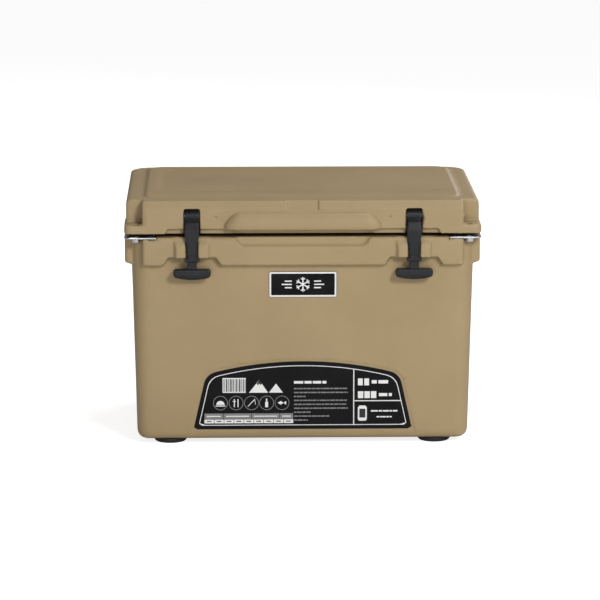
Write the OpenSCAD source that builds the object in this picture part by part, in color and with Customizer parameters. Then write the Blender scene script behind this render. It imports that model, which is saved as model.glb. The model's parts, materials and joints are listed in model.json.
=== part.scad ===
// Hard-sided cooler chest: a double-walled body and a hinged double-walled lid, both filled with foam.
// X runs across the front, Y from front to back and Z up. The origin is on the floor, under the middle of
// the whole chest. All sizes are in millimetres.

/* [Body] */
// Width over the rim
chest_w = 560; // [550:2:580]
// Depth over the rim, front to back
chest_d = 384; // [380:2:400]
// Height of the rim's top above the floor
rim_z = 336; // [334:1:350]
// Height of the rim's lower edge above the floor
rim_low_z = 288.5; // [286:0.5:292]
// Vertical corner radius at the rim
corner_r = 38; // [36:1:40]
// How far the rim stands out from the wall below it
rim_lip = 11; // [9:1:12]
// Draft of the outer walls in degrees
wall_draft = 1.4; // [1:0.1:2]
// Thickness of the moulded skins
skin = 4; // [3.5:0.5:4.5]
// Radius along the bottom edge
bottom_r = 14; // [10:1:16]

/* [Cavity] */
// Width of the cavity at the rim
cavity_w = 452; // [440:2:454]
// Depth of the cavity at the rim, front to back
cavity_d = 279; // [270:1:281]
// Height of the cavity's floor above the ground
cavity_floor_z = 61; // [56:1:66]
// Vertical corner radius of the cavity at the rim
cavity_r = 25; // [23:1:27]
// Draft of the cavity walls in degrees
cavity_draft = 1.5; // [1:0.1:1.6]

/* [Lid] */
// Gap between the rim and the lid's underside
lid_gap = 5; // [4:0.5:6]
// Height of the lid's sides up to its border
lid_h = 51.5; // [51:0.5:55]
// Height of the raised panel over the border
panel_h = 3; // [2:0.5:4]
// Size of the bevel along the lid's front edge
bevel = 10.5; // [9:0.5:12]
// How far the lid can swing open, in degrees
lid_open = 100; // [95:1:104]

/* [Latches] */
// Distance of each latch from the middle
latch_x = 174; // [172:1:178]
// Radius of the latch pins
latch_pin_r = 2.5; // [2.3:0.1:2.7]
// Half the width of the T handle
handle_half_w = 29.3; // [27:0.1:31]

/* [Feet] */
// Height of the feet
foot_h = 8; // [7:0.5:9]
// Radius of the feet
foot_r = 26; // [24:1:27]
// Distance of each foot from the middle, across
foot_x = 210; // [205:1:212]
// Distance of each foot from the middle, front to back
foot_y = 138; // [134:1:138]

/* [Hidden] */

sand = "#a8936f";
rubber_black = "#202226";
steel = "#c9ccd0";
foam_cream = "#e6dcae";
nylon_white = "#e8e6df";

$fn = 64;
eps = 0.05;                                  // gap between parts that only touch
over = 1;                                    // how far a cutter runs past the face it opens

// Corner centres of the body, the lid and the cavity
corner_x = chest_w / 2 - corner_r;
corner_y = chest_d / 2 - corner_r;
cavity_x = cavity_w / 2 - cavity_r;
cavity_y = cavity_d / 2 - cavity_r;
front_y = -chest_d / 2;
rear_y = chest_d / 2;
base_z = foot_h;
wall_top_r = corner_r - rim_lip;
rim_under = 3.5;                             // rise of the rim band's underside, out from the wall

// Heights of the lid
lid_z = rim_z + lid_gap;
border_z = lid_z + lid_h;
panel_z = border_z + panel_h;
lid_edge_r = 10;                             // rounding along the lid's side and rear edges
flange_z = lid_z + 15;                       // top of the lid's lower flange
flange_corner_r = 10;                        // corner radius of the flange at the front
flange_step = 2.5;                           // how far the flange stands out at the sides
bevel_z = border_z - bevel;
plug_depth = 16;                             // how far the lid's plug reaches down past its underside
plug_gap = 7;                                // space between the plug and the cavity wall
tuck_z = lid_z + 8;                          // top of the undercut along the lid's front
tuck_half_w = 212;
tuck_depth = 6;
lip_out = 13;                                // how far the grip lip stands out
scoop_h = 14;                                // height of the finger scoop in the rim below the lip
scoop_half_w = 107;

// Corner pockets for the padlocks
pocket_x = 252;                              // where the pockets begin, from the middle
pocket_depth = 26;
pocket_y = front_y + pocket_depth;
lock_hole_r = 4.5;
lock_x = 261.5;
lock_y = front_y + 9;
collar_r = 6;                                // drawn collar round the plate's lock hole
collar_h = 6;
plate_t = 2.5;
plate_w = 50;
plate_d = 40;
plate_z = rim_z - plate_t - 0.1;
plate_screw_places = [[238.5, front_y + 9], [238.5, front_y + 30], [271, front_y + 33]];
plate_screw_r = 2;
plate_screw_head_r = 4;
plate_screw_l = 18;

// Latches: each hangs on a pin in a slot of the lid and hooks under two ears on the rim
pivot_y = front_y + 8;
pivot_z = lid_z + 28.5;
slot_half_w = 12.4;
slot_depth = 22;
barrel_r = 8.6;
barrel_half_w = 11.6;
strap_front_y = front_y - 8;
strap_back_y = front_y - 0.6;
neck_half_w = 7.2;
strap_low_half_w = 7.4;                      // half the strap's width just above its shoulders
ear_z = rim_z - 32;                          // lower edge of the ears
ear_top_z = rim_z - 4;
ear_ramp_z = rim_z - 14;
ear_front_y = front_y - 7;
ear_in = 9.4;
ear_out = 24.5;
ear_base = 28.5;
ear_slope = 1.3;                             // rise of the ears' underside towards the front
step_in = 36;                                // raised step of the rim under each latch
step_z = ear_z - 3;
step_out = 46.5;
shoulder_z = ear_z - 0.6;
shoulder_h = 5;
handle_top_z = ear_z - 17.5;
handle_h = 17.5;
handle_t = 14;
handle_rise = 6.5;                           // how far the handle's lower edge rises at its ends
pin_in_x = latch_x - 20;
pin_out_x = pocket_x + 0.5;

// Rear hinge
hinge_y = rear_y + 12;
hinge_z = rim_z + 2.5;
hinge_r = 10;
hinge_pin_r = 4;
bush_r = 6;
lid_lug = [140.5, 183.5];                    // from and to, across
body_lugs = [[120, 140], [184, 204]];
stop_gap = 0.2;                              // gap between the lid's stop and the rim when fully open
stop_l = 8;                                  // length of the lid's stop face

// Drain in the right-hand wall
drain_y = 100;
drain_z = cavity_floor_z + 11;
drain_recess_half = 32;
drain_recess_depth = 16;
drain_floor_x = corner_x + wall_r(drain_z) - drain_recess_depth;
drain_tube_r = 15;
drain_bore_r = 10.95;
drain_plug_r = 10.9;
washer_t = 1.5;
flange_t = 3;
seal_t = 2.2;
nut_r = 21;
nut_x = cavity_x + cavity_wall_r(drain_z) - 1;  // outer face of the nut, seated in the cavity's wall

// Hand grips in the side walls
grip_half_w = 62;
grip_low_z = rim_low_z - 38;
grip_top_z = rim_low_z + 9;
grip_depth = 18;

// Foam fill ports
body_port_x = 60;
lid_port_x = 100;
port_r = 11;

// The label, its recess and the badge on the front wall
label_low_z = 25;
label_arch_z = 134.8;                        // top of the label's arched edge
label_z = (label_low_z + label_arch_z) / 2;
label_half_w = 173;
label_shoulder_w = 150;                      // half the width where the arch meets the sides
label_arch_r = 572;
label_t = 0.6;
label_recess = 1.2;
badge_z = 259.2;
badge_w = 106;
badge_h = 40.5;
badge_t = 1.2;

// The whole chest reaches from the grip lip to the hinge, and the frame's middle is midway
frame_y = -(hinge_y + hinge_r + front_y - lip_out) / 2;

// ---------- outlines ----------

// Radius of the body's vertical corners at a height
function wall_r(z) = wall_top_r - (rim_low_z - z) * tan(wall_draft);

// Radius of the cavity's vertical corners at a height
function cavity_wall_r(z) = cavity_r - (rim_z - z) * tan(cavity_draft);

// Outline of the body's wall, moved in by inset, from its rounded bottom edge up to top_z
function wall_outline(inset, top_z) = concat(
    [[0, base_z + inset]],
    [for (a = [0 : 30 : 90])
        [wall_r(base_z + bottom_r) - bottom_r + (bottom_r - inset) * sin(a),
         base_z + bottom_r - (bottom_r - inset) * cos(a)]],
    [[wall_r(top_z) - inset, top_z], [0, top_z]]
);

// Outline of the cavity, moved out by grow
function cavity_outline(grow, top_z) =
    let (low = cavity_floor_z - grow, edge = 8)
    [[0, low], [cavity_wall_r(low) + grow - edge, low],
     [cavity_wall_r(low + edge) + grow, low + edge],
     [cavity_wall_r(top_z) + grow, top_z], [0, top_z]];

function rim_outline() = [
    [0, rim_low_z], [wall_top_r - over, rim_low_z], [corner_r, rim_low_z + rim_under],
    [corner_r, rim_z - 3], [corner_r - 3, rim_z], [0, rim_z]
];

// Outline of the lid's block, moved in by inset
function lid_outline(inset) = concat(
    [[0, lid_z + inset], [corner_r - inset - 1, lid_z + inset],
     [corner_r - inset, lid_z + inset + 1]],
    [for (a = [0 : 30 : 90])
        [corner_r - lid_edge_r + (lid_edge_r - inset) * cos(a),
         border_z - lid_edge_r + (lid_edge_r - inset) * sin(a)]],
    [[0, border_z - inset]]
);

// Rounded to a hundredth, so that a corner and the walls beside it meet exactly
function snap(v) = round(v * 100) / 100;
function snapped(outline) = [for (p = outline) [snap(p[0]), snap(p[1])]];

function mirrored(outline, c) = concat(
    [for (p = outline) [c + p[0], p[1]]],
    [for (i = [len(outline) - 1 : -1 : 0]) [-c - outline[i][0], outline[i][1]]]
);

// ---------- shared shapes ----------

module in_frame() translate([0, frame_y, 0]) children();

// An (r, z) outline carried round a rounded rectangle with corner centres at +-cx, +-cy
module swept(cx, cy, outline) {
    exact = snapped(outline);
    for (x = [-cx, cx], y = [-cy, cy])
        translate([x, y, 0]) rotate_extrude() polygon(exact);
    rotate([90, 0, 0]) linear_extrude(2 * cy, center = true) polygon(mirrored(exact, cx));
    rotate([90, 0, 90]) linear_extrude(2 * cx, center = true) polygon(mirrored(exact, cy));
}

// A ring of constant width round the same rounded rectangle
module ring(cx, cy, r_in, r_out, z_low, z_high) {
    difference() {
        swept(cx, cy, [[0, z_low], [r_out, z_low], [r_out, z_high], [0, z_high]]);
        swept(cx, cy, [[0, z_low - over], [r_in, z_low - over], [r_in, z_high + over], [0, z_high + over]]);
    }
}

// A box given by its lowest and highest corners
module span(low, high) translate(low) cube(high - low);

// A (y, z) profile carried along X
module along_x(from, to) translate([from, 0, 0]) rotate([90, 0, 90]) linear_extrude(to - from) children();

// An (x, z) profile carried along Y
module along_y(from, to) translate([0, to, 0]) rotate([90, 0, 0]) linear_extrude(to - from) children();

module rod_x(r, from, to) along_x(from, to) circle(r);

module both_sides() {
    children();
    mirror([1, 0, 0]) children();
}

// Puts a flat shape on the sloping front wall, with its own Z pointing out of the wall
module on_front_wall(z)
    translate([0, -(corner_y + wall_r(z)), z]) rotate([90 + wall_draft, 0, 0]) children();

// ---------- body ----------

module rim_band() {
    difference() {
        swept(corner_x, corner_y, rim_outline());
        both_sides() {
            span([pocket_x, front_y - over, rim_low_z - over], [chest_w / 2 + over, pocket_y, rim_z + over]);
            translate([latch_x, 0, 0]) along_y(front_y - over, front_y + rim_lip + 3)
                polygon([[-step_out - 1, rim_low_z - over], [-step_in, step_z], [step_in, step_z],
                         [step_out + 1, rim_low_z - over]]);
        }
        finger_scoop();
    }
}

// The hollow in the rim below the lid's grip lip
module finger_scoop() {
    low = rim_z - scoop_h;
    back = front_y + tuck_depth;
    intersection() {
        along_x(-scoop_half_w - over, scoop_half_w + over)
            polygon([[front_y - over, low], [front_y, low], [back, low + scoop_h / 2], [back, rim_z + over],
                     [front_y - over, rim_z + over]]);
        along_y(front_y - 2 * over, back + over)
            polygon([[-scoop_half_w + scoop_h, low - over], [scoop_half_w - scoop_h, low - over],
                     [scoop_half_w, rim_z + over], [-scoop_half_w, rim_z + over]]);
    }
}

// One keeper ear to the right of a latch: a ramp on top, a steep face and a shallow hook below
module ear() {
    intersection() {
        along_x(ear_in, ear_base)
            polygon([[front_y + over, ear_z], [front_y, ear_z - ear_slope / 2],
                     [ear_front_y, ear_z + ear_slope / 2], [ear_front_y, ear_ramp_z],
                     [front_y, ear_top_z], [front_y + over, ear_top_z]]);
        translate([0, 0, ear_z - 2]) linear_extrude(ear_top_z - ear_z + 4)
            polygon([[ear_in, front_y + over], [ear_in, ear_front_y], [ear_out, ear_front_y],
                     [ear_base, front_y], [ear_base, front_y + over]]);
    }
}

module body_lug_profile() {
    translate([hinge_y, hinge_z]) circle(hinge_r);
    polygon([[rear_y - over, rim_z - 31], [rear_y - over, rim_z - 0.5], [hinge_y, hinge_z],
             [hinge_y + 8.2, hinge_z - 5]]);
}

// Hollows in the outer faces, grown by g to give the skin behind them
module wall_hollows(g) {
    both_sides()
        span([corner_x + wall_top_r - grip_depth - g, -grip_half_w - g, grip_low_z - g],
             [corner_x + wall_top_r + over, grip_half_w + g, grip_top_z + g]);
    span([drain_floor_x - g, drain_y - drain_recess_half - g, drain_z - drain_recess_half - g],
         [chest_w / 2, drain_y + drain_recess_half + g, drain_z + drain_recess_half + g]);
}

// Holes through the body's skins, grown by g to give the bosses round them
module body_holes(g) {
    translate([0, drain_y, drain_z]) {
        rod_x(drain_tube_r + 0.1 + g, cavity_x, cavity_x + 60);
        rod_x(nut_r + 0.4 + g, cavity_x, nut_x + eps + g);
    }
    for (x = [-foot_x, foot_x], y = [-foot_y, foot_y])
        translate([x, y, base_z - over]) cylinder(r = 2.05 + g, h = 21 + g);
    both_sides() for (p = plate_screw_places)
        translate([p[0], p[1], rim_z - plate_screw_l - g]) cylinder(r = plate_screw_r + 0.05 + g, h = 40);
}

// The label's outline, grown by g, from a lower edge up to its arch
module label_outline(g, low) {
    top = label_arch_z - label_z;
    foot_w = label_half_w + g;
    shoulder_w = label_shoulder_w + g;
    intersection() {
        polygon([[-foot_w, low], [foot_w, low], [shoulder_w, top - 8 + g], [shoulder_w, top + 8],
                 [-shoulder_w, top + 8], [-shoulder_w, top - 8 + g]]);
        translate([0, top - label_arch_r]) circle(label_arch_r + g, $fn = 180);
    }
}

module body_shell() {
    color(sand) in_frame() difference() {
        union() {
            swept(corner_x, corner_y, wall_outline(0, rim_z));
            rim_band();
            both_sides() {
                translate([latch_x, 0, 0]) both_sides() ear();
                for (lug = body_lugs) along_x(lug[0], lug[1]) body_lug_profile();
            }
        }
        swept(cavity_x, cavity_y, cavity_outline(0, rim_z + over));
        difference() {
            swept(corner_x, corner_y, wall_outline(skin, rim_z - skin));
            swept(cavity_x, cavity_y, cavity_outline(skin, rim_z));
            wall_hollows(skin);
            body_holes(skin);
        }
        wall_hollows(0);
        body_holes(0);
        for (x = [-body_port_x, body_port_x])
            translate([x, 0, base_z - over]) cylinder(r = port_r + eps, h = skin + 2 * over);
        both_sides() {
            span([chest_w / 2 - plate_w - 0.2, front_y - over, plate_z],
                 [chest_w / 2 + over, front_y + plate_d + 0.2, rim_z + over]);
            for (lug = body_lugs)
                translate([0, hinge_y, hinge_z]) rod_x(hinge_pin_r + 0.02, lug[0] - over, lug[1] + over);
        }
        on_front_wall(label_z) translate([0, 0, -label_recess]) linear_extrude(20)
            label_outline(4, base_z - label_z - 4);
    }
}

module body_foam() {
    gap = 0.25;
    color(foam_cream) in_frame() difference() {
        swept(corner_x, corner_y, wall_outline(skin + gap, rim_z - skin - gap));
        swept(cavity_x, cavity_y, cavity_outline(skin + gap, rim_z + over));
        wall_hollows(skin + gap);
        body_holes(skin + gap);
        for (x = [-body_port_x, body_port_x])
            translate([x, 0, 0]) cylinder(r = port_r + 2, h = base_z + skin + 5);
    }
}

// A push-in plug with a thin cap below and a stem above
module fill_plug() {
    cylinder(r = port_r + 4, h = 1.4);
    cylinder(r = port_r - 0.05, h = skin + 4);
}

module body_fill_plugs() {
    color(rubber_black) in_frame() for (x = [-body_port_x, body_port_x])
        translate([x, 0, base_z - 1.45]) fill_plug();
}

module foot(x, y) {
    color(rubber_black) in_frame() translate([x, y, 0]) difference() {
        union() {
            cylinder(r1 = foot_r - 3, r2 = foot_r, h = 3);
            translate([0, 0, 3]) cylinder(r = foot_r, h = foot_h - 3 - eps);
        }
        translate([0, 0, -over]) cylinder(r = 2.3, h = foot_h + 2 * over);
        translate([0, 0, -over]) cylinder(r = 6, h = over + 4);
    }
}

module foot_front_left() foot(-foot_x, -foot_y);
module foot_front_right() foot(foot_x, -foot_y);
module foot_rear_left() foot(-foot_x, foot_y);
module foot_rear_right() foot(foot_x, foot_y);

module foot_screws() {
    color(steel) in_frame() for (x = [-foot_x, foot_x], y = [-foot_y, foot_y])
        translate([x, y, 1.4]) difference() {
            union() {
                cylinder(r = 5, h = 2.6 - eps);
                cylinder(r = 2, h = 24);
            }
            translate([0, 0, -over]) cylinder(r = 2, h = over + 1.6, $fn = 6);
        }
}

// ---------- lock plates ----------

module lock_plate() {
    r = 8;
    far_x = chest_w / 2;
    near_x = far_x - plate_w;
    difference() {
        union() {
            translate([0, 0, plate_z]) linear_extrude(plate_t) {
                translate([near_x, front_y]) square([plate_w - r, plate_d]);
                translate([near_x, front_y + r]) square([plate_w, plate_d - r]);
                translate([far_x - r, front_y + r]) circle(r);
            }
            translate([lock_x, lock_y, plate_z - collar_h]) cylinder(r = collar_r, h = collar_h + 0.1);
        }
        translate([lock_x, lock_y, plate_z - collar_h - over])
            cylinder(r = lock_hole_r, h = plate_t + collar_h + 2 * over);
        for (p = plate_screw_places) translate([p[0], p[1], 0]) {
            translate([0, 0, plate_z - over]) cylinder(r = plate_screw_r + 0.1, h = plate_t + 2 * over);
            translate([0, 0, plate_z + plate_t - 2])
                cylinder(r1 = plate_screw_r + 0.1, r2 = plate_screw_head_r + 0.15, h = 2 + eps / 10);
        }
    }
}

module lock_plate_left() color(steel) in_frame() mirror([1, 0, 0]) lock_plate();
module lock_plate_right() color(steel) in_frame() lock_plate();

module lock_plate_screws() {
    color(steel) in_frame() both_sides() for (p = plate_screw_places)
        translate([p[0], p[1], plate_z + plate_t]) difference() {
            union() {
                translate([0, 0, -2]) cylinder(r1 = plate_screw_r, r2 = plate_screw_head_r, h = 2);
                translate([0, 0, 2 - plate_screw_l]) cylinder(r = plate_screw_r, h = plate_screw_l - 3);
            }
            translate([0, 0, -1.2]) cylinder(r = 1.6, h = 3, $fn = 6);
        }
}

// ---------- badge and label ----------

module front_badge() {
    r = 2.5;
    w = badge_w / 2 - r;
    h = badge_h / 2 - r;
    color("black") in_frame() on_front_wall(badge_z) translate([0, 0, eps]) {
        linear_extrude(badge_t) {
            square([2 * w, badge_h], center = true);
            square([badge_w, 2 * h], center = true);
            for (x = [-w, w], y = [-h, h]) translate([x, y]) circle(r);
        }
    }
}

module front_label() {
    color("black") in_frame() on_front_wall(label_z) translate([0, 0, eps - label_recess])
        linear_extrude(label_t) label_outline(0, label_low_z - label_z);
}

// ---------- drain ----------

module drain_bushing() {
    color(rubber_black) in_frame() translate([0, drain_y, drain_z]) difference() {
        union() {
            rod_x(drain_tube_r, cavity_x + cavity_wall_r(drain_z) - 9, drain_floor_x + 2);
            rod_x(21, drain_floor_x + washer_t + eps, drain_floor_x + washer_t + eps + flange_t);
        }
        rod_x(drain_bore_r, cavity_x, chest_w / 2);
    }
}

module drain_washer() {
    color("dimgray") in_frame() translate([0, drain_y, drain_z]) difference() {
        rod_x(21.5, drain_floor_x + eps / 2, drain_floor_x + washer_t);
        rod_x(drain_tube_r + 0.1, cavity_x, chest_w / 2);
    }
}

module drain_nut() {
    color(rubber_black) in_frame() translate([0, drain_y, drain_z]) difference() {
        rod_x(nut_r, nut_x - 6, nut_x);
        rod_x(drain_tube_r + 0.06, cavity_x, chest_w / 2);
    }
}

module drain_seal() {
    seal_x = drain_floor_x + washer_t + flange_t + 2 * eps;
    color("dimgray") in_frame() translate([0, drain_y, drain_z]) difference() {
        rod_x(16, seal_x, seal_x + seal_t);
        rod_x(drain_plug_r + 0.06, cavity_x, chest_w / 2);
    }
}

module drain_plug() {
    head_x = drain_floor_x + washer_t + flange_t + seal_t + 3 * eps;
    lobes = 8;
    color(rubber_black) in_frame() translate([0, drain_y, drain_z]) {
        rod_x(drain_plug_r, cavity_x + cavity_wall_r(drain_z) - 6, head_x + 1);
        difference() {
            rod_x(19, head_x, head_x + 7);
            for (i = [0 : lobes - 1]) rotate([i * 360 / lobes, 0, 0]) translate([0, 20.5, 0])
                rod_x(4, head_x - over, head_x + 8);
        }
    }
}

// ---------- lid ----------

// Everything cut into the lid's outside, grown by g to give the skin behind it
module lid_hollows(g) {
    both_sides() {
        // padlock pocket above the flange
        span([pocket_x - g, front_y - over, flange_z - g], [chest_w / 2 + over, pocket_y + g, panel_z + over]);
        // latch slot, open downwards
        span([latch_x - slot_half_w - g, front_y - over, lid_z - over],
             [latch_x + slot_half_w + g, front_y + slot_depth + g, bevel_z - 1 + g]);
        translate([0, pivot_y, pivot_z]) rod_x(latch_pin_r + 0.05 + g, pin_in_x - g, pocket_x + over);
        translate([lock_x, lock_y, lid_z - over]) cylinder(r = lock_hole_r + g, h = 30);
    }
    // gasket groove
    ring(cavity_x, cavity_y, 29 - g, 39 + g, lid_z - over, lid_z + 6 + g);
    // undercut along the front
    along_y(front_y - over, front_y + tuck_depth + g)
        polygon([[-tuck_half_w - 4 - g, lid_z - over], [-tuck_half_w - g, tuck_z + g],
                 [tuck_half_w + g, tuck_z + g], [tuck_half_w + 4 + g, lid_z - over]]);
    // bevel along the front edge, with a deeper notch in its middle
    along_x(-chest_w / 2 - over, chest_w / 2 + over)
        polygon([[front_y - 9, border_z - bevel - g - 9], [front_y + bevel + g + 9, border_z + 9],
                 [front_y - 9, border_z + 9]]);
    along_x(-24.5 - g, 24.5 + g)
        polygon([[front_y - 9, bevel_z - 4.2 - g - 9], [front_y + bevel + 4.2 + g + 9, border_z + 9],
                 [front_y - 9, border_z + 9]]);
}

// The grip lip in the middle of the lid's front
module grip_lip() {
    intersection() {
        along_x(-130, 130)
            polygon([[front_y + over, lid_z + 34], [front_y - 4, lid_z + 32], [front_y - 11, lid_z + 22],
                     [front_y - lip_out, lid_z + 12], [front_y - 12, lid_z + 7], [front_y - 8, lid_z + 7],
                     [front_y + tuck_depth + over, lid_z + 10], [front_y + tuck_depth + over, lid_z + 11.5],
                     [front_y + over, lid_z + 12]]);
        along_y(front_y - 20, front_y + 20)
            polygon([[-120, lid_z], [120, lid_z], [118, lid_z + 18], [106, lid_z + 35],
                     [-106, lid_z + 35], [-118, lid_z + 18]]);
    }
}

module lid_lug_profile() {
    n = [-cos(lid_open), -sin(lid_open)];
    t = [sin(lid_open), -cos(lid_open)];
    reach = hinge_y - rear_y - stop_gap;
    translate([hinge_y, hinge_z]) {
        circle(hinge_r);
        polygon([[0, 0], reach * n, reach * n + stop_l * t, (hinge_r - 1) * t]);
        polygon([[-hinge_y + rear_y - over, lid_z + 1 - hinge_z], [-hinge_y + rear_y - over, 30],
                 [5, 7], [0, 0], [-8, 3.5]]);
    }
}

// The lid's flange is squarer than the rest at its front corners, round the padlock holes
module flange_corner() {
    far_x = chest_w / 2;
    r = flange_corner_r;
    span([corner_x, front_y, lid_z], [far_x - r, pocket_y, flange_z]);
    span([corner_x, front_y + r, lid_z], [far_x, pocket_y, flange_z]);
    translate([far_x - r, front_y + r, lid_z]) cylinder(r = r, h = flange_z - lid_z);
}

module lid_block() {
    difference() {
        union() {
            swept(corner_x, corner_y, lid_outline(0));
            both_sides() flange_corner();
        }
        both_sides()
            along_y(front_y - over, rear_y + over)
                polygon([[chest_w / 2, flange_z], [chest_w / 2 + over, flange_z],
                         [chest_w / 2 + over, border_z + over],
                         [chest_w / 2 - flange_step, border_z + over],
                         [chest_w / 2 - flange_step, flange_z + 5]]);
    }
}

// The raised panel, a little behind the middle
module panel() {
    translate([0, 9.5, 0])
        swept(224, 139, [[0, border_z - 1], [25, border_z - 1], [22, panel_z], [0, panel_z]]);
}

module lid_plug(inset, top_z) {
    r = cavity_wall_r(rim_z) - plug_gap;
    swept(cavity_x, cavity_y,
          [[0, lid_z - plug_depth + inset], [r - 3 - inset, lid_z - plug_depth + inset],
           [r - inset, lid_z - plug_depth + 3 + inset], [r - inset, top_z], [0, top_z]]);
}

// The space inside the lid, moved in by a further gap for the foam
module lid_void(gap) {
    difference() {
        union() {
            swept(corner_x - flange_step, corner_y, lid_outline(skin + gap));
            lid_plug(skin + gap, lid_z + skin + 2);
        }
        lid_hollows(skin + gap);
    }
}

module lid_shell() {
    color(sand) in_frame() difference() {
        union() {
            difference() {
                union() {
                    lid_block();
                    panel();
                    lid_plug(0, lid_z + 1);
                    both_sides() along_x(lid_lug[0], lid_lug[1]) lid_lug_profile();
                }
                lid_void(0);
                lid_hollows(0);
            }
            difference() {
                grip_lip();
                lid_notch_guard();
            }
        }
        for (x = [-lid_port_x, lid_port_x])
            translate([x, 0, lid_z - plug_depth - over]) cylinder(r = port_r + eps, h = skin + 2 * over);
        both_sides() translate([0, hinge_y, hinge_z])
            rod_x(bush_r + 0.03, lid_lug[0] - over, lid_lug[1] + over);
    }
}

// Keeps the grip lip out of the bevel's notch
module lid_notch_guard()
    along_x(-140, 140)
        polygon([[front_y - 30, bevel_z - 4.2], [front_y, bevel_z - 4.2], [front_y + 8, bevel_z + 4],
                 [front_y - 30, bevel_z + 4]]);

module lid_foam() {
    color(foam_cream) in_frame() difference() {
        lid_void(0.25);
        for (x = [-lid_port_x, lid_port_x])
            translate([x, 0, lid_z - plug_depth]) cylinder(r = port_r + 2, h = skin + 6);
    }
}

module lid_fill_plugs() {
    color(rubber_black) in_frame() for (x = [-lid_port_x, lid_port_x])
        translate([x, 0, lid_z - plug_depth - 1.45]) fill_plug();
}

module lid_gasket() {
    color("dimgray") in_frame() ring(cavity_x, cavity_y, 29.2, 38.8, rim_z + eps, lid_z + 6 - eps);
}

// ---------- latches ----------

module latch_pin() translate([0, pivot_y, pivot_z]) rod_x(latch_pin_r, pin_in_x + 0.3, pin_out_x);

module latch_pin_left() color(steel) in_frame() mirror([1, 0, 0]) latch_pin();
module latch_pin_right() color(steel) in_frame() latch_pin();

// The strap seen from the side
module strap_profile() {
    translate([pivot_y, pivot_z]) circle(barrel_r);
    polygon([[pivot_y - barrel_r + 2, pivot_z - 4], [strap_front_y, pivot_z - 24],
             [strap_front_y, shoulder_z - 1], [strap_back_y, shoulder_z - 1],
             [strap_back_y, pivot_z - 26], [pivot_y + 2, pivot_z - 7]]);
}

// The strap seen from the front
module strap_front()
    both_sides()
        polygon([[0, pivot_z + 12], [barrel_half_w, pivot_z + 12], [barrel_half_w, lid_z + 5],
                 [ear_in - 0.3, rim_z - 2], [strap_low_half_w, ear_z + 3], [strap_low_half_w, shoulder_z - 2],
                 [0, shoulder_z - 2]]);

module handle_front() {
    r = (handle_half_w * handle_half_w + handle_rise * handle_rise) / (2 * handle_rise);
    end_r = 4;
    low = handle_top_z - handle_h;
    intersection() {
        union() {
            translate([-handle_half_w + end_r, low]) square([2 * (handle_half_w - end_r), handle_h]);
            translate([-handle_half_w, low]) square([2 * handle_half_w, handle_h - end_r]);
            for (x = [-1, 1]) translate([x * (handle_half_w - end_r), handle_top_z - end_r]) circle(end_r);
        }
        translate([0, low + r]) circle(r, $fn = 180);
    }
}

module latch() {
    difference() {
        union() {
            intersection() {
                along_x(-20, 20) strap_profile();
                along_y(front_y - 30, front_y + 30) strap_front();
            }
            along_x(-11.5, 11.5)
                polygon([[strap_front_y, shoulder_z + ear_slope / 2],
                         [strap_back_y, shoulder_z - ear_slope / 2],
                         [strap_back_y, shoulder_z - shoulder_h], [strap_front_y, shoulder_z - shoulder_h]]);
            span([-neck_half_w, strap_front_y + 0.5, handle_top_z - 4],
                 [neck_half_w, strap_back_y, shoulder_z - 2]);
            along_y(strap_front_y - 2, strap_front_y - 2 + handle_t) handle_front();
        }
        translate([0, pivot_y, pivot_z]) rod_x(latch_pin_r + 0.06, -30, 30);
    }
}

module latch_left() color(rubber_black) in_frame() translate([-latch_x, 0, 0]) latch();
module latch_right() color(rubber_black) in_frame() translate([latch_x, 0, 0]) latch();

// ---------- hinge ----------

module hinge_bushes() {
    color(nylon_white) in_frame() both_sides() translate([0, hinge_y, hinge_z]) difference() {
        rod_x(bush_r, lid_lug[0] + 0.1, lid_lug[1] - 0.1);
        rod_x(hinge_pin_r + 0.05, lid_lug[0] - over, lid_lug[1] + over);
    }
}

// A headed pin with a groove near its far end for a clip
module hinge_pin() {
    from = body_lugs[0][0];
    to = body_lugs[1][1];
    translate([0, hinge_y, hinge_z]) difference() {
        union() {
            rod_x(hinge_pin_r, from - 1, to + 4);
            rod_x(6.5, from - 3, from - eps);
        }
        difference() {
            rod_x(hinge_pin_r + over, to + 1, to + 2.2);
            rod_x(hinge_pin_r - 0.9, to, to + 4);
        }
    }
}

module hinge_pin_left() color(steel) in_frame() mirror([1, 0, 0]) hinge_pin();
module hinge_pin_right() color(steel) in_frame() hinge_pin();

module hinge_clips() {
    to = body_lugs[1][1];
    color(steel) in_frame() both_sides() translate([0, hinge_y, hinge_z]) difference() {
        rod_x(7, to + 1.1, to + 2.1);
        rod_x(hinge_pin_r - 0.85, to, to + 4);
    }
}

body_shell();
body_foam();
body_fill_plugs();
foot_front_left();
foot_front_right();
foot_rear_left();
foot_rear_right();
foot_screws();
lock_plate_left();
lock_plate_right();
lock_plate_screws();
front_badge();
front_label();
drain_bushing();
drain_washer();
drain_nut();
drain_seal();
drain_plug();
lid_shell();
lid_foam();
lid_fill_plugs();
lid_gasket();
latch_pin_left();
latch_pin_right();
latch_left();
latch_right();
hinge_bushes();
hinge_pin_left();
hinge_pin_right();
hinge_clips();
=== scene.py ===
"""Hard-sided cooler chest with a hinged lid, rubber T latches, steel lock plates and printed films.

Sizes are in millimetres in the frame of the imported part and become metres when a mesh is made.
X runs across the front, Y from front to back and Z up.
"""

import json
import math

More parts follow.
